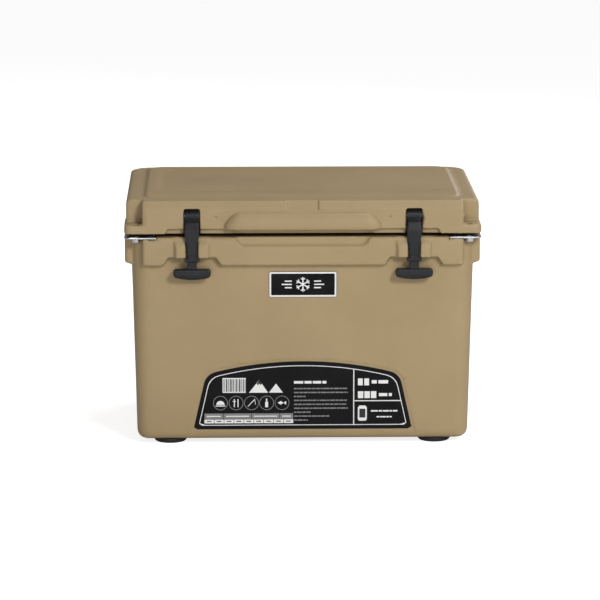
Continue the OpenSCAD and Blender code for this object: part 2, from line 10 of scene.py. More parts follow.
import bmesh
import bpy
import numpy as np
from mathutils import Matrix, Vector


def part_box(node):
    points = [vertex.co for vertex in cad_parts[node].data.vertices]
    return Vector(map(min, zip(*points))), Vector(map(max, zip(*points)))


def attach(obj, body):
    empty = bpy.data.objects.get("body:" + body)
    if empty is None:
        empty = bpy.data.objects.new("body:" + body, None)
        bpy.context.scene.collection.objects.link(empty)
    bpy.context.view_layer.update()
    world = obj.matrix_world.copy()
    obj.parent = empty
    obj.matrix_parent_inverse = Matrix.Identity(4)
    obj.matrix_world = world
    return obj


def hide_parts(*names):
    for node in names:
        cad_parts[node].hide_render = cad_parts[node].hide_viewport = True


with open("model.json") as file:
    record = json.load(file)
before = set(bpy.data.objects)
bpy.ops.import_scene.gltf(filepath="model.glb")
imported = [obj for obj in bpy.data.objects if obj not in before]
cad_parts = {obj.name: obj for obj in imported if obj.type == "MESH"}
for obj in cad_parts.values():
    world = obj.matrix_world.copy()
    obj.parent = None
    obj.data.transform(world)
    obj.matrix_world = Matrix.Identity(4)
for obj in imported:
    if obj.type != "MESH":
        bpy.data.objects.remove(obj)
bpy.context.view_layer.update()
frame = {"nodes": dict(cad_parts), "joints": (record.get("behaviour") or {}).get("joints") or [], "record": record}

import openvdb
from mathutils import Vector

MM = 0.001
FAR = 1000.0
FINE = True
nodes = frame["nodes"]
joints = {j["name"]: j for j in frame["joints"]}


def box_mm(node):
    """Lowest and highest corner of a CAD node, in millimetres."""
    low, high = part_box(node)
    return [c / MM for c in low], [c / MM for c in high]


def axis_mm(joint):
    """A point on a joint's axis, in millimetres."""
    return [c / MM for c in joints[joint]["pos_m"]]


# ---------- places, from the frame ----------

plate_low, plate_high = box_mm("lock_plate_right")
HALF_W = plate_high[0]
FRONT = plate_low[1]
RIM_Z = plate_high[2] + 0.1
HINGE_Y, HINGE_Z = axis_mm("lid_hinge")[1:]
REAR = HINGE_Y - 12
MID_Y = (FRONT + REAR) / 2
LATCH_X, PIVOT_Y, PIVOT_Z = axis_mm("latch_right_swing")
DRAIN_Y, DRAIN_Z = axis_mm("drain_plug_turn")[1:]
BASE_Z = box_mm("foot_front_left")[1][2]
LABEL_LOW, LABEL_HIGH = box_mm("front_label")
BADGE_LOW, BADGE_HIGH = box_mm("front_badge")
PANEL_Z = box_mm("lid_shell")[1][2]

# ---------- sizes of the mouldings ----------
# Names in _X, _Y and _Z are places, _R radii and _HALF_W half widths. RIM_LOW is where the rim band ends.

# outline of the chest, which the body's rim and the lid share
CORNER_R = 38
CORNER_X = HALF_W - CORNER_R
CORNER_Y = (REAR - FRONT) / 2 - CORNER_R

# body: rim band, walls, padlock pockets, scoop below the grip lip, and keeper ears
RIM_LIP = 11
RIM_LOW = RIM_Z - 47.5
RIM_UNDER = 3.5
STEP_HALF_W = 47.5
WALL_R = CORNER_R - RIM_LIP
DRAFT = math.radians(1.4)
BOTTOM_R = 14
LABEL_RECESS = 1.2
POCKET_X = 252
POCKET_Y = FRONT + 26
SCOOP_HALF_W = 107
EAR_Z = RIM_Z - 32
EAR_OUT = 7
EAR_INNER, EAR_OUTER = 9.6, 24.5

# hand grips in the side walls, up and down from the foot of the rim band
GRIP_X = 251
GRIP_HALF_W = 62
GRIP_DOWN, GRIP_UP = 38, 9

# cavity
CAVITY_X, CAVITY_Y, CAVITY_R = 201, 114.5, 25
CAVITY_Z = 61
CAVITY_DRAFT = math.radians(1.5)

# lid: border, front bevel and its notch, flange, undercut, grip lip, latch slots, dimples and plug
LID_Z = RIM_Z + 5
BORDER_Z = PANEL_Z - 3
BEVEL = 10.5
BEVEL_Z = BORDER_Z - BEVEL
NOTCH_HALF_W, NOTCH_DEEP = 24.5, 4.2
FLANGE_Z = LID_Z + 15
UNDERCUT_X = 212
TUCK_Z = LID_Z + 8
TUCK = 6
LIP_OUT = 13
LIP_HALF_W = 99
SLOT_HALF_W = 12.4
DIMPLE_X, DIMPLE_R = 136.5, 2
PLUG_Z = LID_Z - 16

# hinge lugs, and the seats and holes of the fittings
HINGE_R = 10
PIN_BORE_R = 4.02
BUSH_BORE_R = 6.03
LOCK_SEAT_X = 229.8
LOCK_SEAT_DEEP = 40.2
LOCK_HOLE_R = 4.5
DRAIN_RECESS = 32
BUSHING_BORE_R = 15.1
NUT_SEAT_R = 21.5
PORT_R, PORT_DEEP = 11.05, 3.6
BODY_PORT_X, LID_PORT_X = 60, 100


# ---------- signed distances ----------

def smax(a, b, k=0.0):
    """The larger of two distances. With k above 0 the edge where they meet is rounded."""
    if k <= 0:
        return np.maximum(a, b)
    h = np.maximum(k - np.abs(a - b), 0)
    return np.maximum(a, b) + h * h * (0.25 / k)


def smin(a, b, k=0.0):
    """The smaller of two distances, rounded like smax."""
    return -smax(-a, -b, k)


def s_curve(t):
    """0 below 0, 1 above 1, and a smooth step between."""
    t = np.clip(t, 0, 1)
    return t * t * (3 - 2 * t)


def round_rect(x, y, half_x, half_y, mid_y=MID_Y):
    """Distance outwards from a rectangle, which bends round its corners."""
    dx = np.abs(x) - half_x
    dy = np.abs(y - mid_y) - half_y
    return np.hypot(np.maximum(dx, 0), np.maximum(dy, 0)) + np.minimum(np.maximum(dx, dy), 0)


def outline(p, q, points):
    """Distance to a closed outline in a plane, below zero inside it."""
    p, q = np.broadcast_arrays(p, q)
    best = np.full(p.shape, FAR * FAR, np.float32)
    inside = np.zeros(p.shape, bool)
    for (ax, ay), (bx, by) in zip(points, points[1:] + points[:1]):
        ex, ey = bx - ax, by - ay
        wx, wy = p - ax, q - ay
        t = np.clip((wx * ex + wy * ey) / (ex * ex + ey * ey), 0, 1)
        best = np.minimum(best, (wx - ex * t) ** 2 + (wy - ey * t) ** 2)
        crosses = (ay <= q) != (by <= q)
        inside ^= crosses & ((ex * wy - ey * wx > 0) == (by > ay))
    return np.where(inside, -1, 1) * np.sqrt(best)


class Field:
    """Distances on a regular grid. Shapes are joined to it and cut from it in windows."""

    def __init__(self, low, high, step):
        self.step = step
        starts = [0.0, low[1] - 3 * step, low[2] - 3 * step]
        self.axes = [
            (start + step * np.arange(math.ceil((top - start) / step) + 4)).astype(np.float32)
            for start, top in zip(starts, high)
        ]
        self.values = np.full([len(a) for a in self.axes], FAR, np.float32)

    def window(self, low, high, margin):
        """The grid's slices and its x, y and z between two corners and a margin round them."""
        cuts = tuple(
            slice(*np.searchsorted(axis, [start - margin, stop + margin]))
            for axis, start, stop in zip(self.axes, low, high)
        )
        x, y, z = (axis[cut] for axis, cut in zip(self.axes, cuts))
        return cuts, x[:, None, None], y[None, :, None], z[None, None, :]

    def grid(self):
        """The x, y and z of the whole grid."""
        return self.window([-FAR] * 3, [FAR] * 3, 0)[1:]

    def join(self, shape, low, high, k=0.0):
        """Adds a shape, which lies between two corners, with a fillet of k."""
        cuts, x, y, z = self.window(low, high, k + 4 * self.step)
        self.values[cuts] = smin(self.values[cuts], shape(x, y, z), k)

    def cut(self, shape, low, high, k=0.0):
        """Takes away a shape, which lies between two corners, and rounds the edge by k."""
        cuts, x, y, z = self.window(low, high, k + 4 * self.step)
        self.values[cuts] = smax(self.values[cuts], -shape(x, y, z), k)

    def unfold(self):
        """Fills in the x < 0 half as the mirror image of the x > 0 half."""
        self.values = np.concatenate([self.values[:0:-1], self.values])
        self.axes[0] = np.concatenate([-self.axes[0][:0:-1], self.axes[0]])

    def sample(self, points):
        """Values at points, between the grid's own."""
        origin = np.array([axis[0] for axis in self.axes])
        place = (points - origin) / self.step
        cell = np.clip(place.astype(int), 0, np.array(self.values.shape) - 2)
        f = place - cell
        total = 0
        for i in (0, 1):
            for j in (0, 1):
                for k in (0, 1):
                    share = np.abs(1 - i - f[:, 0]) * np.abs(1 - j - f[:, 1]) * np.abs(1 - k - f[:, 2])
                    total = total + share * self.values[cell[:, 0] + i, cell[:, 1] + j, cell[:, 2] + k]
        return total

    def slope(self, points, reach):
        """The direction in which the distance grows, at points."""
        steps = np.eye(3) * reach * self.step
        grown = [self.sample(points + s) - self.sample(points - s) for s in steps]
        return np.stack(grown, axis=1) / (2 * reach * self.step)

    def surface(self, adaptivity):
        """(points, normals, triangles, quads) of the zero surface."""
        band = 3 * self.step
        grid = openvdb.FloatGrid(band)
        grid.copyFromArray(np.clip(self.values, -band, band))
        points, triangles, quads = grid.convertToPolygons(0, adaptivity)
        points = points.astype(float) * self.step + np.array([axis[0] for axis in self.axes])
        for _ in range(2):
            slope = self.slope(points, 0.5)
            points -= slope * (self.sample(points) / np.maximum((slope ** 2).sum(1), 0.25))[:, None]
        normals = self.slope(points, 0.6)
        normals /= np.maximum(np.linalg.norm(normals, axis=1), 1e-6)[:, None]
        return points, normals, triangles, quads


def mesh_of(name, points, normals, triangles, quads):
    """A mesh object from points in millimetres, with given normals."""
    mesh = bpy.data.meshes.new(name)
    mesh.vertices.add(len(points))
    mesh.vertices.foreach_set("co", (points * MM).astype(np.float32).ravel())
    corners = np.concatenate([triangles.ravel(), quads.ravel()]).astype(np.int32)
    mesh.loops.add(len(corners))
    mesh.loops.foreach_set("vertex_index", corners)
    starts = np.concatenate([3 * np.arange(len(triangles)), 3 * len(triangles) + 4 * np.arange(len(quads))])
    mesh.polygons.add(len(starts))
    mesh.polygons.foreach_set("loop_start", starts.astype(np.int32))
    mesh.polygons.foreach_set("use_smooth", np.ones(len(starts), bool))
    mesh.update(calc_edges=True)
    mesh.normals_split_custom_set_from_vertices(normals)
    made = bpy.data.objects.new(name, mesh)
    bpy.context.scene.collection.objects.link(made)
    return made


# ---------- body ----------

def on_wall(z):
    """Where the sloping front wall is at a height, front to back."""
    return MID_Y - CORNER_Y - WALL_R + (RIM_LOW - z) * math.tan(DRAFT)


def lug(profile, low_x, high_x):
    """A hinge lug: a profile in Y and Z carried along X."""
    points = [(HINGE_Y + y, HINGE_Z + z) for y, z in profile]

    def shape(x, y, z):
        flat = smin(np.hypot(y - HINGE_Y, z - HINGE_Z) - HINGE_R, outline(y, z, points), 1)
        return smax(flat, np.abs(x - (low_x + high_x) / 2) - (high_x - low_x) / 2, 1.5)

    return shape


def rod_x(radius, y0, z0):
    """An endless rod along X."""
    return lambda x, y, z: np.hypot(y - y0, z - z0) - radius + 0 * x


def rod_z(radius, x0, y0, z_low, z_high):
    """An upright rod between two heights."""
    return lambda x, y, z: smax(np.hypot(x - x0, y - y0) - radius, np.maximum(z_low - z, z - z_high))


def cut_port(f, x0, low_z, face_z):
    """Hole of a foam plug, in a face that looks down."""
    f.cut(
        rod_z(PORT_R, x0, MID_Y, low_z, face_z + PORT_DEEP),
        (x0 - 12, MID_Y - 12, low_z), (x0 + 12, MID_Y + 12, face_z + 4),
    )


BODY_LUGS = ((120, 140), (184, 204))
BODY_LUG_PROFILE = [(-13, -31), (-13, -3), (0, 0), (8.2, -5)]
LID_LUG = (140.5, 183.5)
LID_LUG_PROFILE = [(-13, 3.6), (-13, 28), (5, 7), (0, 0), (-8, 3.5)]
LUG_BOX = (REAR - 6, HINGE_Y + HINGE_R)
LABEL_FOOT = LABEL_HIGH[0]
LABEL_H = LABEL_HIGH[2] - LABEL_LOW[2]
LABEL_SHOULDER = LABEL_FOOT - 23
LABEL_SHOULDER_V = LABEL_H - 8
LABEL_ARCH_R = 572


def label_distance(x, v):
    """Distance to the label's outline, at x across and v up from its lower edge."""
    lean = math.atan2(LABEL_FOOT - LABEL_SHOULDER, LABEL_SHOULDER_V)
    side = (np.abs(x) - LABEL_FOOT) * math.cos(lean) + v * math.sin(lean)
    arch = np.hypot(x, v - LABEL_H + LABEL_ARCH_R) - LABEL_ARCH_R
    return smax(side, arch, 14)


def body_field(step):
    """The body moulding's outer and cavity faces, with the seats of its fittings."""
    f = Field((0, FRONT - EAR_OUT, BASE_Z), (HALF_W, HINGE_Y + HINGE_R, HINGE_Z + HINGE_R), step)
    x, y, z = f.grid()
    out = round_rect(x, y, CORNER_X, CORNER_Y)
    wall = out - WALL_R + (RIM_LOW - z) * math.tan(DRAFT)
    wall = smax(wall, BASE_Z - z, 1.2 * BOTTOM_R)
    wall = smax(wall, z - RIM_Z, 2)
    # the rim band, whose lower edge steps up under each latch
    low = RIM_LOW + (EAR_Z - 3 - RIM_LOW) * s_curve((STEP_HALF_W - np.abs(x - LATCH_X)) / 12)
    underside = RIM_UNDER * (out - WALL_R) - RIM_LIP * (z - low)
    underside = underside / math.hypot(RIM_UNDER, RIM_LIP)
    band = smax(smax(out - CORNER_R, z - RIM_Z, 4), underside, 2.5)
    # the padlock pockets and the scoop under the lid's grip lip
    pocket = smax(POCKET_X - x, y - POCKET_Y, 3)
    band = smax(band, -pocket, 5)
    scoop = smax(y - FRONT - TUCK, RIM_Z - 15 - z, 10)
    scoop = smax(scoop, x - SCOOP_HALF_W + (RIM_Z - z) * 0.5, 9)
    band = smax(band, -scoop, 2.5)
    f.values[:] = smin(wall, band, 1.5)

    def ear(x, y, z):
        """A pair of keeper ears under the rim, with a slot between them for the strap."""
        across = np.abs(x - LATCH_X)
        forward = FRONT - EAR_OUT - y
        ramp = (10 * forward + EAR_OUT * (z - RIM_Z + 14)) / math.hypot(10, EAR_OUT)
        taper = np.clip(forward, -EAR_OUT, 0) * 4 / EAR_OUT
        side = np.maximum(EAR_INNER - across, across - EAR_OUTER + taper)
        return smax(smax(smax(forward, ramp, 5), EAR_Z - z, 1.5), np.maximum(side, y - FRONT - 5), 2)

    f.join(ear, (LATCH_X - 29, FRONT - EAR_OUT, EAR_Z), (LATCH_X + 29, FRONT + 5, RIM_Z), 1.5)
    in_cavity = round_rect(x, y, CAVITY_X, CAVITY_Y) - CAVITY_R + (RIM_Z - z) * math.tan(CAVITY_DRAFT)
    f.values[:] = smax(f.values, -smax(in_cavity, CAVITY_Z - z, 14), 6)
    # seat of the lock plate
    f.cut(
        lambda x, y, z: np.maximum(
            np.maximum(LOCK_SEAT_X - x, y - FRONT - LOCK_SEAT_DEEP), plate_low[2] + 6 - z
        ),
        (229, FRONT - 2, RIM_Z - 3), (HALF_W + 2, FRONT + 41, RIM_Z + 2), 0.6,
    )
    # hand grip in the side wall
    f.cut(
        lambda x, y, z: smax(
            smax(GRIP_X - x, np.abs(y - MID_Y) - GRIP_HALF_W, 12),
            np.maximum(RIM_LOW - GRIP_DOWN - z, z - RIM_LOW - GRIP_UP), 9,
        ),
        (GRIP_X, MID_Y - GRIP_HALF_W, RIM_LOW - GRIP_DOWN),
        (HALF_W + 2, MID_Y + GRIP_HALF_W, RIM_LOW + GRIP_UP), 4,
    )
    for low_x, high_x in BODY_LUGS:
        f.join(
            lug(BODY_LUG_PROFILE, low_x, high_x),
            (low_x, LUG_BOX[0], HINGE_Z - 32), (high_x, LUG_BOX[1], HINGE_Z + HINGE_R), 2,
        )
        f.cut(
            rod_x(PIN_BORE_R, HINGE_Y, HINGE_Z),
            (low_x - 4, HINGE_Y - 6, HINGE_Z - 6), (high_x + 4, HINGE_Y + 6, HINGE_Z + 6),
        )
    # shallow recess for the label
    f.cut(
        lambda x, y, z: smax(
            label_distance(x, z - LABEL_LOW[2]) - 4, y - on_wall(z) - LABEL_RECESS, 0.8
        ),
        (0, on_wall(BASE_Z) - 6, BASE_Z), (LABEL_FOOT + 5, on_wall(BASE_Z) + 3, LABEL_HIGH[2] + 5), 0.8,
    )
    cut_port(f, BODY_PORT_X, 0, BASE_Z)
    f.unfold()
    # drain recess and its bore, on the right-hand side only
    drain_floor = box_mm("drain_washer")[0][0]
    f.cut(
        lambda x, y, z: smax(
            smax(np.abs(y - DRAIN_Y) - DRAIN_RECESS, np.abs(z - DRAIN_Z) - DRAIN_RECESS, 8),
            drain_floor - x, 4,
        ),
        (drain_floor, DRAIN_Y - DRAIN_RECESS, DRAIN_Z - DRAIN_RECESS),
        (HALF_W, DRAIN_Y + DRAIN_RECESS, DRAIN_Z + DRAIN_RECESS), 3,
    )
    f.cut(
        rod_x(BUSHING_BORE_R, DRAIN_Y, DRAIN_Z),
        (200, DRAIN_Y - 16, DRAIN_Z - 16), (drain_floor + 4, DRAIN_Y + 16, DRAIN_Z + 16),
    )
    # the nut's seat in the cavity's wall
    nut_face = box_mm("drain_nut")[1][0]
    f.cut(
        lambda x, y, z: smax(np.hypot(y - DRAIN_Y, z - DRAIN_Z) - NUT_SEAT_R, x - nut_face - 0.05),
        (190, DRAIN_Y - 22, DRAIN_Z - 22), (nut_face, DRAIN_Y + 22, DRAIN_Z + 22),
    )
    return f


# ---------- lid ----------

def lid_field(step):
    """The lid moulding, from its plug to its raised panel."""
    f = Field((0, FRONT - LIP_OUT, PLUG_Z), (HALF_W, HINGE_Y + HINGE_R, PANEL_Z), step)
    x, y, z = f.grid()
    out = round_rect(x, y, CORNER_X, CORNER_Y)
    block = smax(smax(out - CORNER_R, z - BORDER_Z, 12), LID_Z - z, 2)
    block = smax(block, x - HALF_W + 2.5 * s_curve((z - LID_Z - 11) / 8), 3)
    # the flange is squarer at its front corners
    flange = np.hypot(np.maximum(x - HALF_W + 10, 0), np.maximum(FRONT + 10 - y, 0)) - 10
    flange = smax(flange, np.maximum(CORNER_X - x, y - FRONT - 2 * CORNER_R), 1)
    block = smin(block, smax(flange, np.maximum(LID_Z - z, z - FLANGE_Z), 2), 0.5)
    # the raised panel, with a shallow field in it
    raised = round_rect(x, y, 224, 139, MID_Y + 9.5) - 25 + np.clip(z - BORDER_Z, 0, 3)
    front_rise = z - BORDER_Z - 3 * s_curve((y - MID_Y + 157) / 26)
    raised = np.maximum(raised, LID_Z + 20 - z)
    block = smin(block, smax(smax(raised, z - PANEL_Z, 2), front_rise, 1), 2)
    field = round_rect(x, y, 200, 98, FRONT + 218) - 25
    block = smax(block, -smax(field, PANEL_Z - 1 - z, 4), 5)
    in_cavity = round_rect(x, y, CAVITY_X, CAVITY_Y)
    plug = smax(smax(in_cavity - 18, PLUG_Z - z, 5), z - LID_Z - 3)
    f.values[:] = smin(block, plug, 1)
    # the gasket's groove
    f.values[:] = smax(f.values, -np.maximum(np.abs(in_cavity - 34) - 5, z - LID_Z - 6))
    # bevel along the front edge and the deeper notch in its middle
    slant = (z - BEVEL_Z - y + FRONT) / math.sqrt(2)
    f.values[:] = smax(f.values, slant, 1.2)
    f.cut(
        lambda x, y, z: smax((y - FRONT - z + BEVEL_Z - NOTCH_DEEP) / math.sqrt(2), x - NOTCH_HALF_W, 1),
        (0, FRONT - 4, BEVEL_Z - 6), (25, FRONT + 22, PANEL_Z + 2), 1.2,
    )

    def undercut(x, y, z):
        """The space under the front edge, a little deeper behind the grip lip."""
        behind = y - FRONT - TUCK - 2.5 * s_curve((112 - x) / 8)
        return smax(np.maximum(behind, z - TUCK_Z), x - UNDERCUT_X - (TUCK_Z - z) * 0.5, 1.5)

    f.cut(undercut, (0, FRONT - 4, LID_Z - 3), (UNDERCUT_X + 6, FRONT + TUCK + 3, TUCK_Z), 1.5)

    def lip(x, y, z):
        """The grip lip, rounded at its ends, its front and its upper and lower edges."""
        bulge = np.sqrt(
            (np.maximum(x - LIP_HALF_W, 0) / (15 + 0.45 * np.clip(LID_Z + 34 - z, 0, 27))) ** 2
            + (np.maximum(FRONT - y, 0) / LIP_OUT) ** 2
            + (np.maximum(z - LID_Z - 15, 0) / 19) ** 2
            + (np.maximum(LID_Z + 15 - z, 0) / 12) ** 2
        )
        return smax(LIP_OUT * (bulge - 1), np.maximum(LID_Z + 7 - z, y - FRONT - TUCK - 1), 3)

    f.join(lip, (0, FRONT - LIP_OUT, LID_Z + 7), (124, FRONT + TUCK, LID_Z + 36), 2)
    # slot for the latch
    f.cut(
        lambda x, y, z: np.maximum(
            smax(np.abs(x - LATCH_X) - SLOT_HALF_W, z - BEVEL_Z + 1, 3), y - FRONT - 22
        ),
        (LATCH_X - 13, FRONT - 4, LID_Z - 4), (LATCH_X + 13, FRONT + 22, BEVEL_Z), 1.5,
    )
    # padlock pocket in the corner and its hole
    f.cut(
        lambda x, y, z: smax(smax(POCKET_X - x, y - POCKET_Y, 6), FLANGE_Z - z, 3),
        (POCKET_X, FRONT - 4, FLANGE_Z), (HALF_W + 2, POCKET_Y, PANEL_Z + 3), 4,
    )
    hole_x, hole_y = HALF_W - 18.5, FRONT + 9
    f.cut(
        rod_z(LOCK_HOLE_R, hole_x, hole_y, LID_Z - 3, FLANGE_Z + 3),
        (hole_x - 5, hole_y - 5, LID_Z - 3), (hole_x + 5, hole_y + 5, FLANGE_Z + 3), 0.6,
    )
    # dimple beside the grip lip
    f.cut(
        lambda x, y, z: np.sqrt((x - DIMPLE_X) ** 2 + (y - FRONT) ** 2 + (z - LID_Z - 27) ** 2) - DIMPLE_R,
        (134, FRONT - 2, LID_Z + 25), (139, FRONT + 2, LID_Z + 30),
    )
    low_x, high_x = LID_LUG
    f.join(
        lug(LID_LUG_PROFILE, low_x, high_x),
        (low_x, LUG_BOX[0], HINGE_Z - HINGE_R), (high_x, LUG_BOX[1], HINGE_Z + 30), 2,
    )
    f.cut(
        rod_x(BUSH_BORE_R, HINGE_Y, HINGE_Z),
        (low_x - 4, HINGE_Y - 8, HINGE_Z - 8), (high_x + 4, HINGE_Y + 8, HINGE_Z + 8),
    )
    cut_port(f, LID_PORT_X, PLUG_Z - 3, PLUG_Z)
    f.unfold()
    return f


# ---------- latches ----------

STRAP_FRONT = FRONT - 8
STRAP_BACK = FRONT - 0.6
SHOULDER_Z = EAR_Z - 0.6
HANDLE_Z = EAR_Z - 17.5
HANDLE_H = 17.5
HANDLE_HALF_W = 29.3
HANDLE_ARC_R = 80
BARREL_R, BARREL_HALF_W = 8.6, 11.6
PIN_HOLE_R = 2.56
NECK_HALF_W, COLLAR_HALF_W = 7.2, 11.5
STRAP_TAPER = (
    (RIM_Z - 27, 7.1), (RIM_Z - 10, 9.0), (RIM_Z - 5, 9.4), (LID_Z + 2, 11.9), (PIVOT_Z - 9, 10.6),
)


def latch_field(step):
    """A latch in the middle of the chest; its objects stand LATCH_X to either side."""
    low_z = HANDLE_Z - HANDLE_H
    f = Field((0, STRAP_FRONT - 2, low_z), (HANDLE_HALF_W, PIVOT_Y + 9, PIVOT_Z + 9), step)
    x, y, z = f.grid()
    f.values[:] = smax(np.hypot(y - PIVOT_Y, z - PIVOT_Z) - BARREL_R, x - BARREL_HALF_W, 1)
    side = [
        (PIVOT_Y - 3, PIVOT_Z - 3), (FRONT - 2.5, PIVOT_Z - 10), (STRAP_FRONT, PIVOT_Z - 21),
        (STRAP_FRONT, RIM_Z - 27), (STRAP_BACK, RIM_Z - 27), (STRAP_BACK, PIVOT_Z - 26),
        (PIVOT_Y + 2, PIVOT_Z - 7),
    ]
    half_w = np.interp(z.ravel(), *zip(*STRAP_TAPER)).astype(np.float32)[None, None, :]
    strap = smax(outline(y, z, side), x - half_w, 1.8)
    f.values[:] = smin(f.values, strap, 0.8)

    def block(half_x, y_low, y_high, z_low, z_high, k):
        """A box with round edges."""
        return smax(
            smax(x - half_x, np.maximum(y_low - y, y - y_high), k), np.maximum(z_low - z, z - z_high), k
        )

    neck = block(NECK_HALF_W, STRAP_FRONT + 1, STRAP_BACK, HANDLE_Z - 4, RIM_Z - 25, 1.5)
    f.values[:] = smin(f.values, neck, 0.8)
    collar = block(COLLAR_HALF_W, STRAP_FRONT - 0.3, STRAP_BACK, SHOULDER_Z - 5, SHOULDER_Z, 1.5)
    f.values[:] = smin(f.values, collar, 1.2)
    ends = smax(x - HANDLE_HALF_W, z - HANDLE_Z, 5)
    handle = smax(ends, np.hypot(x, z - low_z - HANDLE_ARC_R) - HANDLE_ARC_R, 4.5)
    front, back = STRAP_FRONT - 2, STRAP_FRONT + 12
    handle = smax(handle, np.maximum(front - y, y - back), 2.5)
    lower_face = (front - y + low_z + 6.5 - z) / math.sqrt(2)
    handle = smax(handle, lower_face, 1)
    f.values[:] = smin(f.values, handle, 2)
    f.values[:] = smax(f.values, PIN_HOLE_R - np.hypot(y - PIVOT_Y, z - PIVOT_Z))
    f.unfold()
    return f


# ---------- build the mouldings ----------

def hollow(shell, foam_node, gap):
    """Lines a shell with the surface its foam lies against, which is the foam's own turned inside out."""
    bm = bmesh.new()
    bm.from_mesh(nodes[foam_node].data)
    bmesh.ops.remove_doubles(bm, verts=bm.verts, dist=1e-6)
    bm.normal_update()
    moved = [v.co + v.normal * gap * MM for v in bm.verts]
    for v, place in zip(bm.verts, moved):
        v.co = place
    bmesh.ops.reverse_faces(bm, faces=bm.faces)
    inside = bpy.data.meshes.new(shell.name + "_inside")
    bm.to_mesh(inside)
    bm.free()
    piece = bpy.data.objects.new(inside.name, inside)
    bpy.context.scene.collection.objects.link(piece)
    bpy.ops.object.select_all(action="DESELECT")
    piece.select_set(True)
    shell.select_set(True)
    bpy.context.view_layer.objects.active = shell
    bpy.ops.object.join()


BODY_STEP, LID_STEP, LATCH_STEP = (1.8, 1.6, 0.5) if FINE else (3.0, 2.6, 0.8)
FOAM_GAP = 0.25
body = mesh_of("body_moulding", *body_field(BODY_STEP).surface(0.02))
lid = mesh_of("lid_moulding", *lid_field(LID_STEP).surface(0.1))
latch_shape = latch_field(LATCH_STEP).surface(0.05)
hollow(body, "body_foam", FOAM_GAP)
hollow(lid, "lid_foam", FOAM_GAP)
pairs = (("left", -LATCH_X), ("right", LATCH_X))
latches = []
for side, x in pairs:
    points, normals, triangles, quads = latch_shape
    latches.append(mesh_of("latch_rubber_" + side, points + np.array([x, 0, 0]), normals, triangles, quads))


# ---------- flat work: the label and the print on it and on the badge ----------

class FlatWork:
    """Closed slabs on a sloping front face. x runs across, v up the face and h out of it."""

    def __init__(self, name, y, z):
        self.name = name
        self.origin = Vector((0, y, z))
        self.up = Vector((0, -math.sin(DRAFT), math.cos(DRAFT)))
        self.out = Vector((0, -math.cos(DRAFT), -math.sin(DRAFT)))
        self.bm = bmesh.new()

    def place(self, x, v, h):
        return self.bm.verts.new((self.origin + Vector((x, 0, 0)) + self.up * v + self.out * h) * MM)

    def slab(self, points, low, high):
        """A filled outline, anticlockwise as seen from the front."""
        back = [self.place(x, v, low) for x, v in points]
        front = [self.place(x, v, high) for x, v in points]
        self.bm.faces.new(front)
        self.bm.faces.new(back[::-1])
        for i in range(len(points)):
            self.bm.faces.new((back[i - 1], back[i], front[i], front[i - 1]))

    def ring(self, outer, inner, low, high):
        """A band between two outlines with as many points as each other."""
        loops = [[self.place(x, v, h) for x, v in line] for line in (outer, inner) for h in (low, high)]
        out_low, out_high, in_low, in_high = loops
        for i in range(len(outer)):
            j = i - 1
            self.bm.faces.new((out_high[j], out_high[i], in_high[i], in_high[j]))
            self.bm.faces.new((in_low[j], in_low[i], out_low[i], out_low[j]))
            self.bm.faces.new((out_low[j], out_low[i], out_high[i], out_high[j]))
            self.bm.faces.new((in_high[j], in_high[i], in_low[i], in_low[j]))

    def box(self, x0, v0, x1, v1, low, high):
        self.slab([(x0, v0), (x1, v0), (x1, v1), (x0, v1)], low, high)

    def bar(self, x0, v0, x1, v1, width, low, high):
        """A straight line of a width."""
        along = Vector((x1 - x0, v1 - v0)).normalized() * width / 2
        side = Vector((-along.y, along.x))
        a, b = Vector((x0, v0)), Vector((x1, v1))
        self.slab([a - side, b - side, b + side, a + side], low, high)

    def done(self):
        bmesh.ops.recalc_face_normals(self.bm, faces=self.bm.faces)
        mesh = bpy.data.meshes.new(self.name)
        self.bm.to_mesh(mesh)
        self.bm.free()
        made = bpy.data.objects.new(self.name, mesh)
        bpy.context.scene.collection.objects.link(made)
        return made


def label_line(inset, floor, count=240):
    """The label's outline, inset, down to a height of floor, as points anticlockwise.

    Each point is found by halving along a ray from a centre inside the outline.
    """
    centre_v = 40
    points = []
    for i in range(count):
        a = math.tau * i / count
        dx, dv = math.cos(a), math.sin(a)
        low, high = 0.0, 260.0
        for _ in range(40):
            reach = (low + high) / 2
            x, v = reach * dx, centre_v + reach * dv
            inside = float(smax(label_distance(x, v) + inset, floor - v, 0.01)) < 0
            low, high = (reach, high) if inside else (low, reach)
        points.append((low * dx, centre_v + low * dv))
    return points


def round_box(half_x, half_v, r, steps=6):
    """Outline of a rectangle with round corners, anticlockwise."""
    x, v = half_x - r, half_v - r
    points = []
    for quarter, (across, up) in enumerate(((x, v), (-x, v), (-x, -v), (x, -v))):
        for i in range(steps + 1):
            a = math.pi / 2 * (quarter + i / steps)
            points.append((across + r * math.cos(a), up + r * math.sin(a)))
    return points


def arc(x, v, r, sides, turn=math.tau):
    """Points round a circle, or round a part of one with both its ends, anticlockwise."""
    angles = [turn * i / sides for i in range(sides + (turn < math.tau))]
    return [(x + r * math.cos(a), v + r * math.sin(a)) for a in angles]


# heights out of the sheet: the film's face, ink on the film, and ink on other ink
FILM = 0.6
INK = (FILM - 0.1, FILM + 0.07)
OVER = (FILM, FILM + 0.12)
label_y = on_wall(LABEL_LOW[2]) + LABEL_RECESS
film = FlatWork("label_sheet", label_y, LABEL_LOW[2])
film.slab(label_line(0, 0), 0.05, FILM)
label = film.done()

white = FlatWork("label_print", label_y, LABEL_LOW[2])
grey = FlatWork("label_print_grey", label_y, LABEL_LOW[2])
dark = FlatWork("label_print_dark", label_y, LABEL_LOW[2])
# places are millimetres from the label's middle and up from its lower edge
white.ring(label_line(6.4, 6.0), label_line(7.6, 7.2), *INK)
white.box(79.8, 7.4, 81.4, 97, *INK)
white.box(81.6, 44.6, 155, 46.2, *INK)
